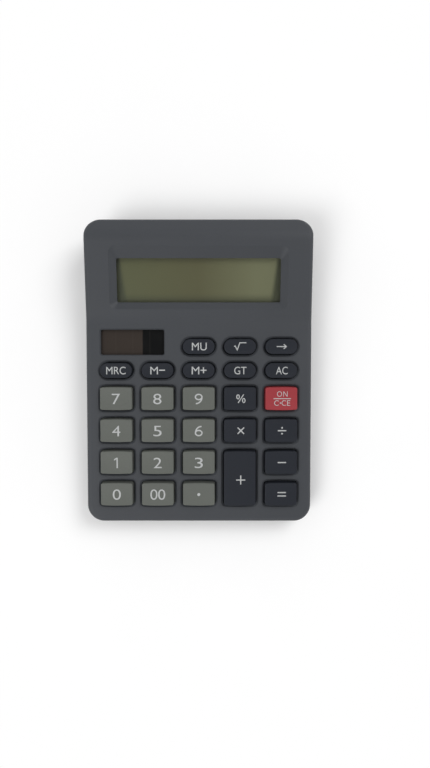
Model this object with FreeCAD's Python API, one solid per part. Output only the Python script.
import FreeCAD, Part
import math
import os

# Desk calculator with a solar cell and a backup button cell. Millimetres and degrees.
# X runs across the keys, Y from the user to the display, Z up. The desk is Z = 0 and
# the origin is under the middle of the case.

# Key bank, in rows from the user to the display. The rows of oval keys come last. None leaves a
# place free: under the tall plus key, and where the solar cell looks out.
KEY_NAMES = [
    ["0", "00", "point", None, "equals"],
    ["1", "2", "3", "plus", "minus"],
    ["4", "5", "6", "multiply", "divide"],
    ["7", "8", "9", "percent", "on_c"],
    ["mrc", "m_minus", "m_plus", "gt", "ac"],
    [None, None, "mu", "root", "back"],
]
OVAL_ROWS = 2
COLUMN_GAP = 4.4
ROW_GAP = 4.2
SIDE_MARGIN = 7.2
FRONT_SPARE = 0.55
DECK_REACH = 9.1

# Block keys and oval keys, measured on their top faces
KEY_WIDTH = 14.6
KEY_DEPTH = 10.6
KEY_CORNER = 0.9
KEY_BOW = 0.25
KEY_RISE = 2.8
KEY_DISH = 0.4
OVAL_DEPTH = 6.8
OVAL_RISE = 2.0
OVAL_DISH = 0.2
KEY_DRAFT = 0.25
KEY_RIM = 0.3
KEY_WALL = 1.1
KEY_ROOF = 1.2
KEY_INNER_CORNER = 0.5
KEY_FLANGE = 0.7
KEY_FLANGE_THICK = 1.0
KEY_POST = 3.6
KEY_TRAVEL = 1.5

# Key holes in the deck
HOLE_GAP = 0.25
POCKET_BEVEL = 0.85
POCKET_SINK = 0.6

# Case
DECK_TILT = 3.0
PANEL_TILT = 11.0
FLOOR_SPARE = 0.6
REAR_RUN = 8.1
REAR_DROP = 3.2
CASE_CORNER = 8.0
CASE_DRAFT = 0.6
BASE_DRAFT = 0.8
BASE_ROUND = 2.0
EDGE_ROUND = 2.2
CREASE_ROUND = 20.0
CREST_ROUND = 9.0
DECK_WALL = 2.0
SIDE_WALL = 2.0
FLOOR_WALL = 2.0
PART_HEIGHT = 6.0
PART_REVEAL = 0.3
LIP_THICK = 0.9
LIP_HEIGHT = 1.5
LIP_GAP = 0.15

# Display, from the lower edge of the sloping panel to its crest
PANEL_MARGIN = 4.6
BEVEL_LOW = 3.0
WINDOW_DEPTH = 20.0
BEVEL_HIGH = 5.5
CREST_MARGIN = 5.1
BEVEL_SIDE = 3.2
WINDOW_SIDE = 14.9
WINDOW_CORNER = 0.8
RECESS_CORNER = 3.0
RECESS_SINK = 2.2
WINDOW_LIP = 0.6
TAPE_THICK = 0.15
TAPE_GAP = 0.3
LENS_MARGIN = 2.0
LENS_THICK = 1.5
LENS_GAP = 0.2
LENS_RIM = 1.2
LCD_MARGIN = 1.8
LCD_LEDGE = 2.6
LCD_GLASS = 1.1
HOLDER_THICK = 1.4
HOLDER_BITE = 3.0
HOLDER_CORNER = 2.0
HOLDER_EDGE = 1.0
HOLDER_SCREW_INSET = 3.3
RIBBON_THICK = 0.15
RIBBON_INSET = 8.4
RIBBON_HOLD = 2.0
RIBBON_REACH = 0.8

# Solar cell
SOLAR_SPARE = 0.8
SOLAR_DEPTH = 11.6
SOLAR_DROP = 0.4
SOLAR_CORNER = 0.8
SOLAR_CHAMFER = 0.5
SOLAR_MARGIN = 1.1
SOLAR_GLASS = 1.1
SOLAR_RIM = 0.7
SOLAR_GAP = 0.15

# Rubber keypad and circuit board
TRAVEL_SPARE = 0.3
FLANGE_REST = 0.1
MAT_THICK = 0.9
MAT_MARGIN = 0.5
DOME_FOOT = 3.4
DOME_TOP = 2.2
DOME_WALL = 0.6
OVAL_DOME_FOOT = 2.7
BOARD_THICK = 1.2
BOARD_EDGE = 0.6
BOARD_CORNER = 1.5
CHIP_RADIUS = 6.0
CHIP_RISE = 1.6
CAPACITOR_RADIUS = 2.0
CAPACITOR_LENGTH = 7.0
CAPACITOR_ROUND = 0.4

# Screws and the bosses they bite into
BOSS_GAP = 0.5
BOARD_BOSS = 2.0
BOARD_SCREW = 0.9
BOARD_SCREW_HEAD = 1.9
BOARD_SCREW_HEAD_HEIGHT = 1.2
CASE_BOSS = 2.2
CASE_BOSS_INSET = 7.2
CASE_POST = 3.2
CASE_SCREW = 1.15
CASE_SCREW_BITE = 4.0
CASE_SCREW_HEAD = 2.2
CASE_SCREW_HEAD_HEIGHT = 1.6
CASE_SCREW_SEAT = 1.8
SCREW_GAP = 0.12
SCREW_TIP_ROOM = 0.4
CROSS_WIDTH = 0.5
CROSS_SHARE = 0.6

# Feet, battery bay and door
FOOT_RADIUS = 4.5
FOOT_PROUD = 1.2
FOOT_SEAT = 0.8
FOOT_GAP = 0.2
FOOT_ROUND = 0.4
FOOT_INSET_X = 12.5
FOOT_INSET_Y = 13.0
DOOR_WIDTH = 24.0
DOOR_LAP = 5.1
DOOR_PLATE = 1.2
DOOR_TONGUE = 1.5
DOOR_GAP = 0.2
CHANNEL_WALL = 1.6
GRIP_GROOVES = 4
GRIP_PITCH = 1.8
GRIP_WIDTH = 0.8
GRIP_SINK = 0.4
GRIP_REACH = 12.0
CELL_RADIUS = 5.8
CELL_HEIGHT = 3.1
CELL_STEP = 0.5
CELL_GAP = 0.3
BAY_WALL = 1.3
BAY_ROOF = 1.2
CONTACT_THICK = 0.3
CONTACT_WIDTH = 3.6
CONTACT_TAB = 3.5
CONTACT_GAP = 0.15
CONTACT_SPARE = 1.3
RIB_COUNT = 3
RIB_THICK = 1.2
RIB_HEIGHT = 1.5

# TINY is a tolerance, PAST is how far a cut runs on past what it cuts, and a face whose normal
# rises more than UPWARD looks up.
V = FreeCAD.Vector
TINY = 1e-6
PAST = 1.0
UPWARD = 0.5

# Levels under the deck, measured square to it, with the deck's outer face at zero
FLANGE_TOP = -DECK_WALL - FLANGE_REST
FLANGE_FOOT = FLANGE_TOP - KEY_FLANGE_THICK
MAT_TOP = FLANGE_FOOT - KEY_TRAVEL - TRAVEL_SPARE
BOARD_TOP = MAT_TOP - MAT_THICK
BOARD_FOOT = BOARD_TOP - BOARD_THICK
SOLAR_TOP = -DECK_WALL - TAPE_THICK
SOLAR_FOOT = SOLAR_TOP - SOLAR_GLASS

# The floor, and the front wall that is just high enough for all that the deck carries
FLOOR_FOOT = FOOT_PROUD
FLOOR_MIDDLE = FLOOR_FOOT + FLOOR_WALL / 2
FLOOR_TOP = FLOOR_FOOT + FLOOR_WALL
RIB_TOP = FLOOR_TOP + RIB_HEIGHT
FRONT_HEIGHT = RIB_TOP + FLOOR_SPARE + BOARD_SCREW_HEAD_HEIGHT - BOARD_FOOT

# Where the columns, the rows, the crease, the crest and the rear wall lie
COLUMNS = len(KEY_NAMES[0])
BLOCK_ROWS = len(KEY_NAMES) - OVAL_ROWS
COLUMN_PITCH = KEY_WIDTH + COLUMN_GAP
ROW_PITCH = KEY_DEPTH + ROW_GAP
OVAL_ROW_PITCH = OVAL_DEPTH + ROW_GAP
FLANGE_SPREAD = KEY_DRAFT + KEY_FLANGE
BANK_HALF = ((COLUMNS - 1) * COLUMN_PITCH + KEY_WIDTH) / 2
FLANGE_HALF = BANK_HALF + FLANGE_SPREAD
FRONT_MARGIN = SIDE_WALL + FRONT_SPARE + 2 * CASE_BOSS + BOSS_GAP + FLANGE_SPREAD
FRONT_ROW = FRONT_MARGIN + KEY_DEPTH / 2
LAST_BLOCK_ROW = FRONT_ROW + (BLOCK_ROWS - 1) * ROW_PITCH
FIRST_OVAL_ROW = LAST_BLOCK_ROW + KEY_DEPTH / 2 + ROW_GAP + OVAL_DEPTH / 2
LAST_OVAL_ROW = FIRST_OVAL_ROW + (OVAL_ROWS - 1) * OVAL_ROW_PITCH
DECK_LENGTH = LAST_OVAL_ROW + OVAL_DEPTH / 2 + DECK_REACH
WINDOW_LOW = PANEL_MARGIN + BEVEL_LOW
WINDOW_MIDDLE = WINDOW_LOW + WINDOW_DEPTH / 2
PANEL_LENGTH = WINDOW_LOW + WINDOW_DEPTH + BEVEL_HIGH + CREST_MARGIN
DECK_COS = math.cos(math.radians(DECK_TILT))
DECK_SIN = math.sin(math.radians(DECK_TILT))
PANEL_COS = math.cos(math.radians(PANEL_TILT))
PANEL_SIN = math.sin(math.radians(PANEL_TILT))
CASE_WIDTH = 2 * (BANK_HALF + SIDE_MARGIN)
CASE_LENGTH = DECK_LENGTH * DECK_COS + PANEL_LENGTH * PANEL_COS + REAR_RUN
FRONT_Y = -CASE_LENGTH / 2
REAR_Y = CASE_LENGTH / 2
CREASE_Y = FRONT_Y + DECK_LENGTH * DECK_COS
CREASE_Z = FRONT_HEIGHT + DECK_LENGTH * DECK_SIN
CREST_Y = CREASE_Y + PANEL_LENGTH * PANEL_COS
CREST_Z = CREASE_Z + PANEL_LENGTH * PANEL_SIN
REAR_Z = CREST_Z - REAR_DROP
DECK = FreeCAD.Placement(V(0, FRONT_Y, FRONT_HEIGHT), FreeCAD.Rotation(V(1, 0, 0), DECK_TILT))
PANEL = FreeCAD.Placement(V(0, CREASE_Y, CREASE_Z), FreeCAD.Rotation(V(1, 0, 0), PANEL_TILT))

# The display window between its margins, and the levels behind the panel, square to it
WINDOW_WIDTH = CASE_WIDTH - 2 * WINDOW_SIDE
LENS_SEAT = -RECESS_SINK - WINDOW_LIP
LENS_TOP = LENS_SEAT - TAPE_THICK
LENS_FOOT = LENS_TOP - LENS_THICK
LCD_TOP = LENS_FOOT - LENS_GAP
LCD_STEP = LCD_TOP - LCD_GLASS
LCD_FOOT = LCD_STEP - LCD_GLASS
HOLDER_FOOT = LCD_FOOT - HOLDER_THICK
LCD_WIDTH = WINDOW_WIDTH + 2 * LCD_MARGIN
LCD_LOW = WINDOW_LOW - LCD_MARGIN - LCD_LEDGE
LCD_HIGH = WINDOW_LOW + WINDOW_DEPTH + LCD_MARGIN
LENS_WIDTH = WINDOW_WIDTH + 2 * LENS_MARGIN

# The solar window ends where a board boss still fits between its frame and the next key
SOLAR_COLUMNS = KEY_NAMES[-1].count(None)
SOLAR_FRAME = SOLAR_MARGIN + SOLAR_GAP + SOLAR_RIM
SOLAR_KEY_GAP = SOLAR_FRAME + 2 * (BOARD_BOSS + BOSS_GAP) + FLANGE_SPREAD + SOLAR_SPARE
SOLAR_WIDTH = SOLAR_COLUMNS * COLUMN_PITCH - SOLAR_KEY_GAP

# Heights over the desk of the battery bay and its door
DOOR_STEP = FLOOR_FOOT + DOOR_PLATE
DOOR_TOP = DOOR_STEP + DOOR_PLATE
CHANNEL_FOOT = DOOR_TOP + DOOR_GAP
CHANNEL_TOP = CHANNEL_FOOT + BAY_ROOF
CELL_FOOT = CHANNEL_FOOT
CELL_TOP = CELL_FOOT + CELL_HEIGHT
BAY_INSIDE = CELL_TOP + CONTACT_GAP + CONTACT_THICK + CONTACT_GAP
BAY_TOP = BAY_INSIDE + BAY_ROOF
CELL_Y = REAR_Y - SIDE_WALL - CONTACT_SPARE - CONTACT_TAB - CONTACT_GAP - CELL_RADIUS
DOOR_FRONT_Y = CELL_Y - CELL_RADIUS - CELL_GAP - DOOR_LAP
CHANNEL_FRONT_Y = DOOR_FRONT_Y - DOOR_GAP - CHANNEL_WALL


def placed(shape, place):
    """A copy of the shape, carried from a slope's own axes to the object's."""
    moved = shape.copy()
    moved.Placement = place.multiply(moved.Placement)
    return moved


def block(x_span, y_span, z_span):
    """A box between pairs of coordinates."""
    size = [high - low for low, high in (x_span, y_span, z_span)]
    return Part.makeBox(*size, V(x_span[0], y_span[0], z_span[0]))


def rod(radius, x, y, foot, top):
    """An upright round bar."""
    return Part.makeCylinder(radius, top - foot, V(x, y, foot))


def span(start, middle, end):
    """An arc through three points, or a line where they are in line."""
    if (middle - start).cross(end - middle).Length < TINY:
        return Part.LineSegment(start, end).toShape()
    return Part.Arc(start, middle, end).toShape()


def outline(width, depth, corner, height, bow=0.0, middle=(0.0, 0.0)):
    """A closed outline with round corners, whose front and rear edges swell by bow."""
    half_width = width / 2
    half_depth = depth / 2
    corner_x = half_width - corner
    if bow:
        swell = (half_width ** 2 + bow ** 2) / (2 * bow)
        swell_y = half_depth - swell
        corner_y = swell_y + math.sqrt((swell - corner) ** 2 - corner_x ** 2)
        turn = math.atan2(corner_y - swell_y, corner_x)
    else:
        corner_y = half_depth - corner
        turn = math.pi / 2
    knee = (corner_x + corner * math.cos(turn / 2), corner_y + corner * math.sin(turn / 2))
    meet = (corner_x + corner * math.cos(turn), corner_y + corner * math.sin(turn))
    side = (half_width, corner_y)
    flank = (half_width, 0.0)
    apex = (0.0, half_depth)

    def at(point, sign_x, sign_y):
        return V(middle[0] + sign_x * point[0], middle[1] + sign_y * point[1], height)

    spans = [
        (at(meet, -1, 1), at(apex, 1, 1), at(meet, 1, 1)),
        (at(meet, 1, 1), at(knee, 1, 1), at(side, 1, 1)),
        (at(side, 1, 1), at(flank, 1, 1), at(side, 1, -1)),
        (at(side, 1, -1), at(knee, 1, -1), at(meet, 1, -1)),
        (at(meet, 1, -1), at(apex, 1, -1), at(meet, -1, -1)),
        (at(meet, -1, -1), at(knee, -1, -1), at(side, -1, -1)),
        (at(side, -1, -1), at(flank, -1, -1), at(side, -1, 1)),
        (at(side, -1, 1), at(knee, -1, 1), at(meet, -1, 1)),
    ]
    long_enough = [s for s in spans if (s[2] - s[0]).Length > TINY]
    return Part.Wire([span(*s) for s in long_enough])


def slab(width, depth, corner, foot, top, middle=(0.0, 0.0)):
    """A flat plate with round corners."""
    wire = outline(width, depth, corner, foot, middle=middle)
    return Part.Face(wire).extrude(V(0, 0, top - foot))


def loft(*wires):
    """A straight-sided solid through outlines with matching edges."""
    return Part.makeLoft(list(wires), True, True)


def bent_strip(path, thick, x_span):
    """A bent strip of sheet. The path is its lower face, seen from the side as (y, z)."""
    wire = Part.makePolygon([V(x_span[0], y, z) for y, z in path])
    face = wire.makeOffset2D(thick, 2, True, True)
    return face.extrude(V(x_span[1] - x_span[0], 0, 0))


def side_profile(foot):
    """The case seen from the side: front wall, deck, display panel, crest and rear wall."""
    corners = [
        (FRONT_Y, foot, 0.0),
        (FRONT_Y, FRONT_HEIGHT, 0.0),
        (CREASE_Y, CREASE_Z, CREASE_ROUND),
        (CREST_Y, CREST_Z, CREST_ROUND),
        (REAR_Y, REAR_Z, 0.0),
        (REAR_Y, foot, 0.0),
    ]
    edges = []
    points = [V(0, y, z) for y, z, _ in corners]
    begin = points[0]
    for index, (_, _, radius) in enumerate(corners):
        here = points[index]
        if radius:
            back = (points[index - 1] - here).normalize()
            on = (points[index + 1] - here).normalize()
            half = back.getAngle(on) / 2
            reach = radius / math.tan(half)
            centre = here + (back + on).normalize() * (radius / math.sin(half))
            bulge = centre + (here - centre).normalize() * radius
            edges.append(Part.LineSegment(begin, here + back * reach).toShape())
            edges.append(Part.Arc(here + back * reach, bulge, here + on * reach).toShape())
            begin = here + on * reach
        elif index:
            edges.append(Part.LineSegment(begin, here).toShape())
            begin = here
    edges.append(Part.LineSegment(begin, points[0]).toShape())
    return Part.Wire(edges)


def side_solid(wire):
    """The side profile drawn out over more than the case's width."""
    wide = CASE_WIDTH + 2 * PAST
    solid = Part.Face(wire).extrude(V(wide, 0, 0))
    solid.translate(V(-wide / 2, 0, 0))
    return solid


def case_outline(inset, height):
    """The case seen from above, drawn in by inset."""
    return outline(CASE_WIDTH - 2 * inset, CASE_LENGTH - 2 * inset, CASE_CORNER - inset, height)


def case_tower(inset, foot, top):
    """The case's drafted upright walls, drawn in by inset."""
    lean = CASE_DRAFT / (CREST_Z - PART_HEIGHT)
    low = case_outline(inset + lean * (foot - PART_HEIGHT), foot)
    high = case_outline(inset + lean * (top - PART_HEIGHT), top)
    return loft(low, high)


def on_top_edge(form, edge):
    """True for an edge where a face that looks up meets an upright wall."""
    middle = edge.valueAt((edge.FirstParameter + edge.LastParameter) / 2)
    rises = []
    for face in form.ancestorsOfType(edge, Part.Face):
        place = face.Surface.parameter(middle)
        rises.append(face.normalAt(*place).z)
    return max(rises) > UPWARD and abs(min(rises)) < UPWARD


def upper_form():
    """The outer form of the case top, with its rounded upper edge."""
    foot = PART_HEIGHT + PART_REVEAL
    form = side_solid(side_profile(foot)).common(case_tower(0, foot, CREST_Z + PAST))
    rim = [edge for edge in form.Edges if on_top_edge(form, edge)]
    return form.makeFillet(EDGE_ROUND, rim)


def upper_hollow():
    """The room inside the case top."""
    foot = PART_HEIGHT - DECK_WALL - PAST
    inner = side_profile(foot).makeOffset2D(-DECK_WALL, 2)
    return side_solid(inner).common(case_tower(SIDE_WALL, PART_HEIGHT, CREST_Z))


class KeyKind:
    """One shape of key: its top outline, its height over the deck and its scooped top."""

    def __init__(self, depth, corner, bow, rise, dish, dome):
        self.width = KEY_WIDTH
        self.depth = depth
        self.corner = corner
        self.bow = bow
        self.rise = rise
        self.dish = dish
        self.dome = dome

    def ring(self, grow, height):
        """The key's outline, grown all round."""
        width = self.width + 2 * grow
        depth = self.depth + 2 * grow
        return outline(width, depth, self.corner + grow, height, self.bow)

    def inner_ring(self, grow, height):
        """The outline of the room inside the key."""
        width = self.width + 2 * grow
        depth = self.depth + 2 * grow
        corner = KEY_INNER_CORNER if self.bow else depth / 2
        return outline(width, depth, corner, height, self.bow)


BLOCK = KeyKind(KEY_DEPTH, KEY_CORNER, KEY_BOW, KEY_RISE, KEY_DISH, DOME_FOOT)
TALL = KeyKind(KEY_DEPTH + ROW_PITCH, KEY_CORNER, KEY_BOW, KEY_RISE, KEY_DISH, DOME_FOOT)
OVAL = KeyKind(OVAL_DEPTH, OVAL_DEPTH / 2, 0.0, OVAL_RISE, OVAL_DISH, OVAL_DOME_FOOT)


def key_places():
    """Each key's name, kind and place on the deck."""
    rows = [FRONT_ROW + n * ROW_PITCH for n in range(BLOCK_ROWS)]
    rows += [FIRST_OVAL_ROW + n * OVAL_ROW_PITCH for n in range(OVAL_ROWS)]
    places = []
    for row, names in enumerate(KEY_NAMES):
        for column, name in enumerate(names):
            x = (column - (COLUMNS - 1) / 2) * COLUMN_PITCH
            if name == "plus":
                places.append((name, TALL, V(x, rows[row] - ROW_PITCH / 2, 0)))
            elif name:
                places.append((name, BLOCK if row < BLOCK_ROWS else OVAL, V(x, rows[row], 0)))
    return places


def key_cap(kind):
    """A key on its own axes: drafted cap, scooped top, flange under the deck and centre post."""
    cap = loft(kind.ring(KEY_DRAFT, FLANGE_TOP), kind.ring(0, kind.rise))
    scoop = (kind.depth ** 2 / 4 + kind.dish ** 2) / (2 * kind.dish)
    half = kind.width / 2 + PAST
    axle = V(-half, 0, kind.rise - kind.dish + scoop)
    cap = cap.cut(Part.makeCylinder(scoop, 2 * half, axle, V(1, 0, 0)))
    rim_level = kind.rise - kind.dish - TINY
    rim = [edge for edge in cap.Edges if min(v.Z for v in edge.Vertexes) > rim_level]
    cap = cap.makeFillet(KEY_RIM, rim)
    flange = Part.Face(kind.ring(FLANGE_SPREAD, FLANGE_FOOT)).extrude(V(0, 0, KEY_FLANGE_THICK))
    roof = kind.rise - kind.dish - KEY_ROOF
    hollow = loft(kind.inner_ring(KEY_DRAFT - KEY_WALL, FLANGE_FOOT), kind.inner_ring(-KEY_WALL, roof))
    post = rod(KEY_POST / 2, 0, 0, FLANGE_FOOT, roof + KEY_ROOF / 2)
    return cap.fuse(flange).cut(hollow).fuse(post).removeSplitter()


def key_hole(kind):
    """What a key takes out of the deck: its hole and the sunken bevel round it."""
    edge = KEY_DRAFT + HOLE_GAP
    wide_edge = edge + POCKET_BEVEL * (1 + PAST / POCKET_SINK)
    bevel = loft(kind.ring(edge, -POCKET_SINK), kind.ring(wide_edge, PAST))
    hole = Part.Face(kind.ring(edge, -DECK_WALL - PAST)).extrude(V(0, 0, DECK_WALL + PAST))
    return hole.fuse(bevel)


def solar_middle():
    """The middle of the solar window: over the first columns, in line with the last row."""
    front = LAST_OVAL_ROW - OVAL_DEPTH / 2 - SOLAR_DROP
    return (SOLAR_WIDTH / 2 - BANK_HALF, front + SOLAR_DEPTH / 2)


def solar_plate(grow, foot, top):
    """A plate of the solar window's outline, grown all round."""
    corner = SOLAR_CORNER + max(grow, 0)
    return slab(SOLAR_WIDTH + 2 * grow, SOLAR_DEPTH + 2 * grow, corner, foot, top, solar_middle())


def solar_window():
    """The solar window with its chamfered upper edge."""
    middle = solar_middle()
    grow = SOLAR_CHAMFER + PAST
    wide = SOLAR_WIDTH + 2 * grow
    deep = SOLAR_DEPTH + 2 * grow
    chamfer = loft(
        outline(SOLAR_WIDTH, SOLAR_DEPTH, SOLAR_CORNER, -SOLAR_CHAMFER, middle=middle),
        outline(wide, deep, SOLAR_CORNER + grow, PAST, middle=middle),
    )
    return solar_plate(0, -DECK_WALL - PAST, 0).fuse(chamfer)


def board_boss_places():
    """Where the board is screwed up: in the free strips in front, behind and by the solar cell."""
    front = (SIDE_WALL + FRONT_MARGIN - FLANGE_SPREAD) / 2
    rear = rear_boss_line()
    solar_edge = SOLAR_WIDTH - BANK_HALF + SOLAR_FRAME
    beside_solar = solar_edge + (SOLAR_KEY_GAP - SOLAR_FRAME - FLANGE_SPREAD) / 2
    return [
        (-COLUMN_PITCH, front),
        (COLUMN_PITCH, front),
        (beside_solar, LAST_OVAL_ROW),
        (COLUMN_PITCH / 2, rear),
        (BANK_HALF - KEY_WIDTH / 2, rear),
    ]


def rear_boss_line():
    """How far up the deck the rear board bosses stand, behind the last row of keys."""
    return (LAST_OVAL_ROW + OVAL_DEPTH / 2 + FLANGE_SPREAD + DECK_LENGTH) / 2


def holder_boss_places():
    """Where the display holder is screwed up, beside the panel's two ends."""
    x = LENS_WIDTH / 2 + LENS_GAP + LENS_RIM + BOSS_GAP + BOARD_BOSS
    reach = WINDOW_DEPTH / 2 - HOLDER_SCREW_INSET
    return [(sign * x, u) for sign in (-1, 1) for u in (WINDOW_MIDDLE - reach, WINDOW_MIDDLE + reach)]


def corners(x, y):
    """The same place in all four corners."""
    return [(sign_x * x, sign_y * y) for sign_x in (-1, 1) for sign_y in (-1, 1)]


def case_boss_places():
    """The four case screws, between the end walls and the keys."""
    end_inset = SIDE_WALL + FRONT_SPARE / 2 + CASE_BOSS
    return corners(CASE_WIDTH / 2 - CASE_BOSS_INSET, CASE_LENGTH / 2 - end_inset)


def recess_outline(share, height):
    """The display recess between its floor (share 0) and the panel's face (share 1)."""
    width = WINDOW_WIDTH + 2 * share * BEVEL_SIDE
    depth = WINDOW_DEPTH + share * (BEVEL_LOW + BEVEL_HIGH)
    corner = WINDOW_CORNER + share * (RECESS_CORNER - WINDOW_CORNER)
    middle = (0.0, WINDOW_MIDDLE + share * (BEVEL_HIGH - BEVEL_LOW) / 2)
    return outline(width, depth, corner, height, middle=middle)


def display_recess():
    """The bevelled display recess and the window through its floor."""
    past = 1 + PAST / RECESS_SINK
    bevel = loft(recess_outline(0, -RECESS_SINK), recess_outline(past, PAST))
    window = Part.Face(recess_outline(0, LENS_SEAT - PAST)).extrude(V(0, 0, WINDOW_LIP + 2 * PAST))
    return bevel.fuse(window)


def window_slab(grow, foot, top):
    """A plate of the display window's outline, grown all round."""
    width = WINDOW_WIDTH + 2 * grow
    depth = WINDOW_DEPTH + 2 * grow
    return slab(width, depth, WINDOW_CORNER + grow, foot, top, (0.0, WINDOW_MIDDLE))


def upper_housing(form):
    """The case top: shell, seats and bosses inside, then all its openings."""
    shell = form.cut(upper_hollow())
    seat_face = Part.Face(recess_outline(1 + LENS_RIM / BEVEL_SIDE, LENS_SEAT))
    lens_stop = LENS_MARGIN + LENS_GAP
    added = [
        placed(seat_face.extrude(V(0, 0, -LENS_SEAT - DECK_WALL / 2)), PANEL),
        placed(window_slab(lens_stop + LENS_RIM, LENS_FOOT, LENS_SEAT + TAPE_THICK), PANEL),
        placed(solar_plate(SOLAR_FRAME, SOLAR_FOOT, -DECK_WALL / 2), DECK),
    ]
    for x, v in board_boss_places():
        added.append(placed(rod(BOARD_BOSS, x, v, BOARD_TOP, -DECK_WALL / 2), DECK))
    for x, u in holder_boss_places():
        added.append(placed(rod(BOARD_BOSS, x, u, LCD_FOOT, -DECK_WALL / 2), PANEL))
    for x, y in case_boss_places():
        added.append(rod(CASE_BOSS, x, y, PART_HEIGHT, CREST_Z))
    limit = form.fuse(upper_hollow())
    shell = shell.fuse([piece.common(limit) for piece in added])

    lip_room = case_outline(SIDE_WALL - LIP_THICK - LIP_GAP, PART_HEIGHT)
    cuts = [
        placed(display_recess(), PANEL),
        placed(window_slab(lens_stop, LENS_FOOT - PAST, LENS_SEAT), PANEL),
        placed(solar_window(), DECK),
        placed(solar_plate(SOLAR_MARGIN + SOLAR_GAP, SOLAR_FOOT - PAST, -DECK_WALL), DECK),
    ]
    for _, kind, place in key_places():
        cutter = key_hole(kind)
        cutter.translate(place)
        cuts.append(placed(cutter, DECK))
    pilot = BOARD_SCREW + SCREW_GAP
    for x, v in board_boss_places():
        cuts.append(placed(rod(pilot, x, v, BOARD_TOP - PAST, -DECK_WALL), DECK))
    for x, u in holder_boss_places():
        cuts.append(placed(rod(pilot, x, u, LCD_FOOT - PAST, LENS_SEAT), PANEL))
    bite = PART_HEIGHT + CASE_SCREW_BITE + SCREW_TIP_ROOM
    for x, y in case_boss_places():
        cuts.append(rod(CASE_SCREW + SCREW_GAP, x, y, PART_HEIGHT - PAST, bite))
    rebate = Part.Face(lip_room).extrude(V(0, 0, LIP_HEIGHT + PART_REVEAL))
    keep = [rod(CASE_BOSS, x, y, PART_HEIGHT, CREST_Z) for x, y in case_boss_places()]
    cuts.append(rebate.cut(keep))
    return shell.cut(cuts).removeSplitter()


def lower_form():
    """The outer form of the base tray."""
    form = loft(case_outline(BASE_DRAFT, FLOOR_FOOT), case_outline(0, PART_HEIGHT))
    rim = [edge for edge in form.Edges if max(v.Z for v in edge.Vertexes) < FLOOR_FOOT + TINY]
    return form.makeFillet(BASE_ROUND, rim)


def door_profile(grow):
    """The door's stepped section drawn out to the rear, grown all round, with its end wall."""
    lower = DOOR_WIDTH / 2 + grow
    upper = DOOR_WIDTH / 2 + DOOR_TONGUE + grow
    front = DOOR_FRONT_Y - grow
    past = REAR_Y + PAST
    end_wall = REAR_Y - SIDE_WALL - grow
    parts = [
        block((-lower, lower), (front, past), (FLOOR_FOOT - PAST, DOOR_STEP)),
        block((-upper, upper), (front, past), (DOOR_STEP - grow, DOOR_TOP + grow)),
        block((-upper, upper), (end_wall, past), (DOOR_STEP - grow, PART_HEIGHT - DOOR_GAP + grow)),
    ]
    return parts[0].fuse(parts[1:])


def lower_housing():
    """The base tray: floor, walls, lip, screw posts, battery bay, door channel, ribs, foot seats."""
    form = lower_form()
    inner = loft(case_outline(SIDE_WALL + BASE_DRAFT, FLOOR_TOP), case_outline(SIDE_WALL, PART_HEIGHT))
    tray = form.cut(inner)
    lip_foot = PART_HEIGHT - LIP_HEIGHT
    lip = Part.Face(case_outline(SIDE_WALL - LIP_THICK, lip_foot)).extrude(V(0, 0, 2 * LIP_HEIGHT))
    lip = lip.cut(Part.Face(case_outline(SIDE_WALL, lip_foot)).extrude(V(0, 0, 2 * LIP_HEIGHT)))
    half = DOOR_WIDTH / 2 + DOOR_TONGUE + DOOR_GAP + CHANNEL_WALL
    channel_y = (CHANNEL_FRONT_Y, REAR_Y - SIDE_WALL / 2)
    added = [
        lip,
        block((-half, half), channel_y, (FLOOR_MIDDLE, CHANNEL_TOP)).common(form),
        rod(CELL_RADIUS + CELL_GAP + BAY_WALL, 0, CELL_Y, CHANNEL_FOOT, BAY_TOP),
    ]
    for x, y in case_boss_places():
        post = rod(CASE_POST, x, y, FLOOR_MIDDLE, PART_HEIGHT)
        added.append(post.common(form))
    rib_y = (FRONT_Y + FRONT_MARGIN, CHANNEL_FRONT_Y + CHANNEL_WALL / 2)
    for n in range(RIB_COUNT):
        left = (n - (RIB_COUNT - 1) / 2) * CASE_WIDTH / (RIB_COUNT + 1) - RIB_THICK / 2
        added.append(block((left, left + RIB_THICK), rib_y, (FLOOR_MIDDLE, RIB_TOP)))
    tray = tray.fuse(added)

    cuts = [
        door_profile(DOOR_GAP),
        rod(CELL_RADIUS + CELL_GAP, 0, CELL_Y, DOOR_TOP, BAY_INSIDE),
        plus_slot(),
        minus_slot(),
    ]
    for x, y in case_boss_places():
        cuts.append(rod(CASE_SCREW + SCREW_GAP, x, y, 0, PART_HEIGHT + PAST))
        seat = PART_HEIGHT - CASE_SCREW_SEAT
        cuts.append(rod(CASE_SCREW_HEAD + SCREW_GAP, x, y, 0, seat))
    for x, y in foot_places():
        cuts.append(rod(FOOT_RADIUS + FOOT_GAP, x, y, 0, FLOOR_FOOT + FOOT_SEAT))
    return tray.cut(cuts).removeSplitter()


def foot_places():
    """The four feet, in from the corners."""
    return corners(CASE_WIDTH / 2 - FOOT_INSET_X, CASE_LENGTH / 2 - FOOT_INSET_Y)


def rubber_feet():
    """Four round feet, rounded where they meet the desk."""
    feet = []
    for x, y in foot_places():
        foot = rod(FOOT_RADIUS, x, y, 0, FLOOR_FOOT + FOOT_SEAT)
        low = [edge for edge in foot.Edges if max(v.Z for v in edge.Vertexes) < TINY]
        feet.append(foot.makeFillet(FOOT_ROUND, low))
    return Part.makeCompound(feet)


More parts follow.
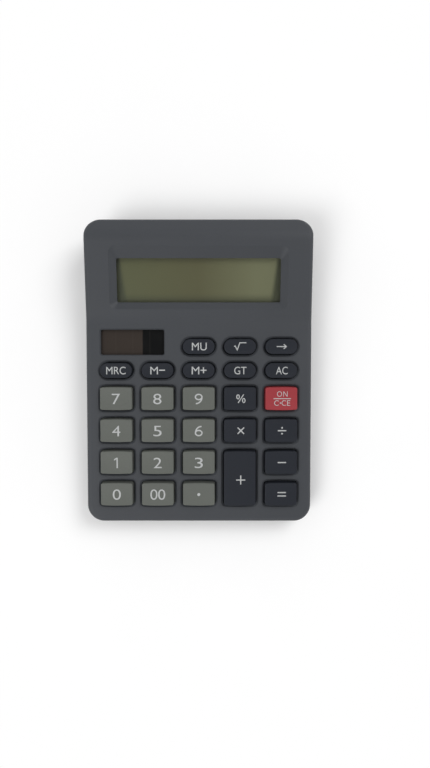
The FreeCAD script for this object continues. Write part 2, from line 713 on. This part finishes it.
def battery_door():
    """The door: a stepped plate with an end wall and finger grooves, which slides out rearwards."""
    grip_x = (-GRIP_REACH / 2, GRIP_REACH / 2)
    grip_z = (0, FLOOR_FOOT + GRIP_SINK)
    grooves = []
    for n in range(GRIP_GROOVES):
        rear = REAR_Y - BASE_ROUND - BASE_DRAFT - n * GRIP_PITCH
        grooves.append(block(grip_x, (rear - GRIP_WIDTH, rear), grip_z))
    return door_profile(0).common(lower_form()).cut(grooves).removeSplitter()


def battery_cell():
    """A button cell, its narrower cap upwards."""
    step = CELL_TOP - CELL_STEP
    can = rod(CELL_RADIUS, 0, CELL_Y, CELL_FOOT, step)
    cap = rod(CELL_RADIUS - 2 * CELL_STEP, 0, CELL_Y, step, CELL_TOP)
    return can.fuse(cap).removeSplitter()


def minus_path():
    """The cap contact from the side: a tongue over the cell, up through the bay roof, and a tab."""
    tongue = CELL_TOP + CONTACT_GAP
    tongue_end = (CELL_Y + CONTACT_WIDTH / 2, tongue)
    rise_y = CELL_Y - CELL_RADIUS + CONTACT_THICK
    tab = BAY_TOP + CONTACT_THICK
    return [tongue_end, (rise_y, tongue), (rise_y, tab), (rise_y - CONTACT_TAB, tab)]


def plus_path():
    """The can contact from the side: a leaf beside the cell, up through the bay roof, and a tab."""
    leaf_y = CELL_Y + CELL_RADIUS + CONTACT_GAP
    tab = BAY_TOP + CONTACT_THICK
    return [(leaf_y, CELL_FOOT + CONTACT_GAP), (leaf_y, tab), (leaf_y + CONTACT_TAB, tab)]


def contact(path):
    """A bent strip of spring sheet along the path."""
    return bent_strip(path, CONTACT_THICK, (-CONTACT_WIDTH / 2, CONTACT_WIDTH / 2))


def contact_slot(low_y, high_y, foot):
    """Room for a contact to pass the bay's roof and wall."""
    half = CONTACT_WIDTH / 2 + CONTACT_GAP
    return block((-half, half), (low_y - CONTACT_GAP, high_y + CONTACT_GAP), (foot, BAY_TOP + PAST))


def minus_slot():
    """Where the cap contact passes the bay's roof."""
    rise_y = CELL_Y - CELL_RADIUS + CONTACT_THICK
    return contact_slot(rise_y - CONTACT_THICK, rise_y + CONTACT_THICK, CELL_TOP)


def plus_slot():
    """Where the can contact stands beside the cell and passes the bay's roof."""
    leaf_y = CELL_Y + CELL_RADIUS + CONTACT_GAP
    return contact_slot(leaf_y - CONTACT_THICK, leaf_y + CONTACT_THICK, CELL_FOOT)


def rubber_keypad():
    """One silicone sheet on the board, with a hollow dome under each key."""
    front = FRONT_MARGIN - FLANGE_SPREAD + MAT_MARGIN
    rear = LAST_OVAL_ROW + OVAL_DEPTH / 2 + FLANGE_SPREAD - MAT_MARGIN
    sheet = block((-FLANGE_HALF, FLANGE_HALF), (front, rear), (BOARD_TOP, MAT_TOP))
    rise = KEY_TRAVEL + TRAVEL_SPARE + MAT_THICK / 2
    domes = []
    rooms = []
    for _, kind, place in key_places():
        top = kind.dome - (DOME_FOOT - DOME_TOP)
        dome_foot = place + V(0, 0, FLANGE_FOOT - rise)
        room_foot = place + V(0, 0, BOARD_TOP)
        domes.append(Part.makeCone(kind.dome, top, rise, dome_foot))
        rooms.append(Part.makeCone(kind.dome - DOME_WALL, top - DOME_WALL, rise, room_foot))
    sheet = sheet.fuse(domes).cut(rooms)
    room = BOARD_BOSS + BOSS_GAP
    holes = [rod(room, x, v, BOARD_TOP - PAST, FLANGE_TOP) for x, v in board_boss_places()]
    return placed(sheet.cut(holes).removeSplitter(), DECK)


def board_rear():
    """The board's rear edge: behind its rear bosses there is room for the display ribbon to land."""
    return rear_boss_line() + BOARD_BOSS + BOSS_GAP + RIBBON_HOLD


def circuit_board():
    """The board under the keypad, notched round the case bosses and drilled for its screws."""
    front = SIDE_WALL + BOARD_EDGE
    length = board_rear() - front
    middle = (0.0, front + length / 2)
    board = slab(2 * (FLANGE_HALF + BOARD_EDGE), length, BOARD_CORNER, BOARD_FOOT, BOARD_TOP, middle)
    bore = BOARD_SCREW + SCREW_GAP
    holes = [rod(bore, x, v, BOARD_FOOT - PAST, BOARD_TOP + PAST) for x, v in board_boss_places()]
    notches = [rod(CASE_BOSS + BOSS_GAP, x, y, 0, CREST_Z) for x, y in case_boss_places()]
    return placed(board.cut(holes), DECK).cut(notches).removeSplitter()


def chip_cap():
    """The drop of black resin over the chip, under the board."""
    ball = (CHIP_RADIUS ** 2 + CHIP_RISE ** 2) / (2 * CHIP_RISE)
    drop = Part.makeSphere(ball, V(COLUMN_PITCH, LAST_BLOCK_ROW, BOARD_FOOT - CHIP_RISE + ball))
    below = rod(ball, COLUMN_PITCH, LAST_BLOCK_ROW, BOARD_FOOT - 2 * CHIP_RISE, BOARD_FOOT)
    return placed(drop.common(below), DECK)


def capacitor():
    """A small can capacitor lying under the board."""
    axis_z = BOARD_FOOT - CAPACITOR_RADIUS
    start = V(-COLUMN_PITCH, FIRST_OVAL_ROW, axis_z)
    can = Part.makeCylinder(CAPACITOR_RADIUS, CAPACITOR_LENGTH, start, V(1, 0, 0))
    return placed(can.makeFillet(CAPACITOR_ROUND, can.Edges[:1]), DECK)


def screw(radius, head, head_height, seat, tip):
    """A screw pointing up: its head hangs under seat, its shank reaches tip."""
    shank = rod(radius, 0, 0, seat, tip)
    foot = seat - head_height
    cap = rod(head, 0, 0, foot, seat)
    along = (-head * CROSS_SHARE, head * CROSS_SHARE)
    across = (-CROSS_WIDTH / 2, CROSS_WIDTH / 2)
    sunk = (foot - PAST, foot + head_height / 2)
    return shank.fuse(cap).cut([block(along, across, sunk), block(across, along, sunk)]).removeSplitter()


def screw_group(one, places, slope=None):
    """Copies of one screw at its places, on a slope's axes or upright."""
    group = []
    for x, y in places:
        copy = one.copy()
        copy.translate(V(x, y, 0))
        group.append(placed(copy, slope) if slope else copy)
    return Part.makeCompound(group)


def small_screw(seat, tip):
    """The screw that holds the board and the display."""
    return screw(BOARD_SCREW, BOARD_SCREW_HEAD, BOARD_SCREW_HEAD_HEIGHT, seat, tip)


def board_screws():
    """The screws that hold the board to the deck."""
    one = small_screw(BOARD_FOOT, -DECK_WALL - SCREW_TIP_ROOM)
    return screw_group(one, board_boss_places(), DECK)


def holder_screws():
    """The screws that hold the display's frame to the panel."""
    one = small_screw(HOLDER_FOOT, LENS_SEAT - SCREW_TIP_ROOM)
    return screw_group(one, holder_boss_places(), PANEL)


def case_screws():
    """The screws that hold the case's two halves together."""
    seat = PART_HEIGHT - CASE_SCREW_SEAT
    tip = PART_HEIGHT + CASE_SCREW_BITE
    one = screw(CASE_SCREW, CASE_SCREW_HEAD, CASE_SCREW_HEAD_HEIGHT, seat, tip)
    return screw_group(one, case_boss_places())


def display_lens():
    """The clear window, stuck in its seat from inside."""
    return placed(window_slab(LENS_MARGIN, LENS_FOOT, LENS_TOP), PANEL)


def lens_tape():
    """The dark adhesive frame between the lens and the case."""
    tape = window_slab(LENS_MARGIN, LENS_TOP, LENS_SEAT)
    return placed(tape.cut(window_slab(TAPE_GAP, LENS_TOP - PAST, LENS_SEAT + PAST)), PANEL)


def lcd_panel():
    """Two glass plates bonded together, the rear one longer to carry the contacts."""
    half = LCD_WIDTH / 2
    front = block((-half, half), (LCD_LOW + LCD_LEDGE, LCD_HIGH), (LCD_STEP, LCD_TOP))
    rear = block((-half, half), (LCD_LOW, LCD_HIGH), (LCD_FOOT, LCD_STEP))
    return placed(front.fuse(rear).removeSplitter(), PANEL)


def lcd_holder():
    """The frame that clamps the panel, screwed up beside its two ends."""
    bosses = holder_boss_places()
    width = 2 * (max(x for x, _ in bosses) + BOARD_BOSS)
    low = LCD_LOW - HOLDER_EDGE
    high = LCD_HIGH + HOLDER_EDGE
    middle = (0.0, (low + high) / 2)
    under = HOLDER_FOOT - PAST
    over = LCD_FOOT + PAST
    frame = slab(width, high - low, HOLDER_CORNER, HOLDER_FOOT, LCD_FOOT, middle)
    open_width = LCD_WIDTH - 2 * HOLDER_BITE
    open_depth = LCD_HIGH - LCD_LOW - 2 * HOLDER_BITE
    opening = slab(open_width, open_depth, HOLDER_CORNER, under, over, middle)
    holes = [rod(BOARD_SCREW + SCREW_GAP, x, u, under, over) for x, u in bosses]
    return placed(frame.cut([opening] + holes), PANEL)


def lcd_ribbon():
    """The flat ribbon from the panel's contact ledge to the rear edge of the board."""
    points = [
        PANEL.multVec(V(0, LCD_LOW + RIBBON_HOLD, LCD_STEP)),
        PANEL.multVec(V(0, LCD_LOW - RIBBON_REACH, LCD_STEP)),
        DECK.multVec(V(0, board_rear() + RIBBON_REACH, BOARD_TOP)),
        DECK.multVec(V(0, board_rear() - RIBBON_HOLD, BOARD_TOP)),
    ]
    path = [(point.y, point.z) for point in points]
    half = LCD_WIDTH / 2 - RIBBON_INSET
    return bent_strip(path, RIBBON_THICK, (-half, half))


def solar_cell():
    """The glass cell, stuck in its seat from inside."""
    return placed(solar_plate(SOLAR_MARGIN, SOLAR_FOOT, SOLAR_TOP), DECK)


def solar_tape():
    """The adhesive frame between the solar cell and the deck."""
    tape = solar_plate(SOLAR_MARGIN, SOLAR_TOP, -DECK_WALL)
    return placed(tape.cut(solar_plate(0, SOLAR_TOP - PAST, PAST)), DECK)


def keys():
    """Every key in its place, by name."""
    caps = {kind: key_cap(kind) for kind in (BLOCK, TALL, OVAL)}
    made = {}
    for name, kind, place in key_places():
        cap = caps[kind].copy()
        cap.translate(place)
        made["key_" + name] = placed(cap, DECK)
    return made


nodes = {
    "upper_housing": upper_housing(upper_form()),
    "lower_housing": lower_housing(),
    "battery_door": battery_door(),
    "battery_cell": battery_cell(),
    "battery_contact_plus": contact(plus_path()),
    "battery_contact_minus": contact(minus_path()),
    "rubber_feet": rubber_feet(),
    "rubber_keypad": rubber_keypad(),
    "circuit_board": circuit_board(),
    "chip_cap": chip_cap(),
    "capacitor": capacitor(),
    "board_screws": board_screws(),
    "case_screws": case_screws(),
    "display_lens": display_lens(),
    "lens_tape": lens_tape(),
    "lcd_panel": lcd_panel(),
    "lcd_holder": lcd_holder(),
    "holder_screws": holder_screws(),
    "lcd_ribbon": lcd_ribbon(),
    "solar_cell": solar_cell(),
    "solar_tape": solar_tape(),
}
nodes.update(keys())

os.makedirs("parts", exist_ok=True)
for name, shape in nodes.items():
    shape.exportStep("parts/" + name + ".step")
    print(name, len(shape.Solids), "solids,", round(shape.Volume, 1), "mm3, valid", shape.isValid())
print("case", round(CASE_WIDTH, 2), "x", round(CASE_LENGTH, 2), "x", round(CREST_Z, 2))
